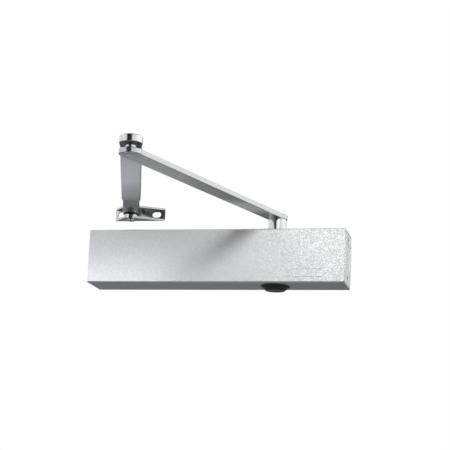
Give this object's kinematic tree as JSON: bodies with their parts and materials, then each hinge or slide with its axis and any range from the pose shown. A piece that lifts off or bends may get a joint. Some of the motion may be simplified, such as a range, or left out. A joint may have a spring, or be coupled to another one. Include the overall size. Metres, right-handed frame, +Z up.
{
  "type": "door closer",
  "caption": "Overhead door closer: a boxed hydraulic body turns a spindle whose two-part folding arm pulls the door shut from a shoe on the frame.",
  "frame": {"origin": "centre of the body's flat back face, which lies against the door", "axes": "+X right along the body, +Y out of the back face into the door, +Z up along the spindle"},
  "size_m": [0.287, 0.3023, 0.1016],
  "materials": {
    "silver_paint": "fine metallic silver coating, satin",
    "arm_silver": "smooth silver plating, semi-gloss",
    "zinc_plate": "zinc-plated pressed steel, satin",
    "bright_steel": "bright plated, turned",
    "black_plastic": "moulded, satin",
    "cast_aluminium": "as cast, fine grain",
    "turned_aluminium": "turned",
    "machined_steel": "ground and oiled",
    "spring_steel": "dark spring wire",
    "brass": "turned",
    "seal_rubber": "moulded"
  },
  "bodies": {
    "closer_body": {"cover_shell": "silver_paint", "left_end_cap": "silver_paint", "right_end_cap": "silver_paint", "left_end_screw_upper": "zinc_plate", "left_end_screw_lower": "zinc_plate", "right_end_screw_upper": "zinc_plate", "right_end_screw_lower": "zinc_plate", "spindle_cap": "black_plastic", "housing": "cast_aluminium", "left_plug": "turned_aluminium", "right_plug": "turned_aluminium", "left_plug_o_ring": "seal_rubber", "right_plug_o_ring": "seal_rubber", "adjuster_o_ring": "seal_rubber", "closing_speed_o_ring": "seal_rubber", "latching_speed_o_ring": "seal_rubber", "backcheck_o_ring": "seal_rubber", "upper_bearing": "machined_steel", "lower_bearing": "machined_steel", "upper_bearing_nut": "machined_steel", "lower_bearing_nut": "machined_steel", "upper_shaft_seal": "seal_rubber", "lower_shaft_seal": "seal_rubber", "closing_spring": "spring_steel"},
    "spindle_arm": {"pinion_shaft": "machined_steel", "main_arm": "arm_silver", "arm_sleeve": "bright_steel", "arm_screw": "zinc_plate", "elbow_pin": "bright_steel", "elbow_circlip": "bright_steel"},
    "piston_unit": {"piston": "machined_steel", "check_valve_seat": "machined_steel"},
    "check_ball": {"check_valve_ball": "machined_steel"},
    "spring_nut": {"spring_seat": "machined_steel"},
    "power_screw": {"spring_adjuster": "machined_steel"},
    "closing_valve": {"closing_speed_valve": "brass"},
    "latching_valve": {"latching_speed_valve": "brass"},
    "backcheck_screw": {"backcheck_valve": "brass"},
    "forearm_outer": {"forearm_channel": "arm_silver", "elbow_knuckle": "bright_steel", "elbow_bush": "black_plastic", "clamp_bridge": "zinc_plate", "clamp_screw_outer": "zinc_plate", "clamp_screw_inner": "zinc_plate"},
    "forearm_inner": {"forearm_slider": "arm_silver", "shoe_bush": "black_plastic", "shoe_washer": "black_plastic"},
    "frame_shoe": {"shoe_bracket": "zinc_plate", "shoe_pin": "zinc_plate", "shoe_circlip": "zinc_plate", "shoe_spacer_lower": "zinc_plate", "shoe_spacer_upper": "zinc_plate"}
  },
  "joints": [
    {"name": "spindle_turn", "type": "hinge", "parent": "closer_body", "child": "spindle_arm", "pos_m": [0.064, -0.023, 0], "axis": [0, 0, 1], "range_deg": [-170, 0], "stiffness_Nm_per_rad": 6, "springref_deg": 171.89},
    {"name": "piston_slide", "type": "slide", "parent": "closer_body", "child": "piston_unit", "axis": [1, 0, 0], "range_m": [-0.0268, 0], "deforming": ["closing_spring"]},
    {"name": "check_ball_lift", "type": "slide", "parent": "piston_unit", "child": "check_ball", "axis": [1, 0, 0], "range_m": [0, 0.0015]},
    {"name": "power_screw_turn", "type": "hinge", "parent": "closer_body", "child": "power_screw", "pos_m": [-0.124, -0.023, 0], "axis": [1, 0, 0], "range_deg": [0, 1801]},
    {"name": "spring_nut_slide", "type": "slide", "parent": "closer_body", "child": "spring_nut", "axis": [1, 0, 0], "range_m": [0, 0.015]},
    {"name": "closing_valve_turn", "type": "hinge", "parent": "closer_body", "child": "closing_valve", "pos_m": [0.092, -0.043, 0.0218], "axis": [0, 1, 0], "range_deg": [-360, 360]},
    {"name": "latching_valve_turn", "type": "hinge", "parent": "closer_body", "child": "latching_valve", "pos_m": [0.104, -0.043, 0.0218], "axis": [0, 1, 0], "range_deg": [-360, 360]},
    {"name": "backcheck_valve_turn", "type": "hinge", "parent": "closer_body", "child": "backcheck_screw", "pos_m": [0.035, -0.043, 0.0218], "axis": [0, 1, 0], "range_deg": [-360, 360]},
    {"name": "elbow_turn", "type": "hinge", "parent": "spindle_arm", "child": "forearm_outer", "pos_m": [-0.0258, -0.2911, 0.054], "axis": [0, 0, 1], "range_deg": [-15, 140]},
    {"name": "forearm_extend", "type": "slide", "parent": "forearm_outer", "child": "forearm_inner", "axis": [-0.2806, 0.9598, 0], "range_m": [-0.02, 0.02]},
    {"name": "shoe_turn", "type": "hinge", "parent": "forearm_inner", "child": "frame_shoe", "pos_m": [-0.1074, -0.012, 0.0569], "axis": [0, 0, 1], "range_deg": [-70, 70]}
  ],
  "couplings": [
    {"joint": "piston_slide", "follows": "spindle_turn", "m_per_rad": 0.009},
    {"joint": "power_screw_turn", "follows": "spring_nut_slide", "rad_per_m": 2094.4}
  ]
}
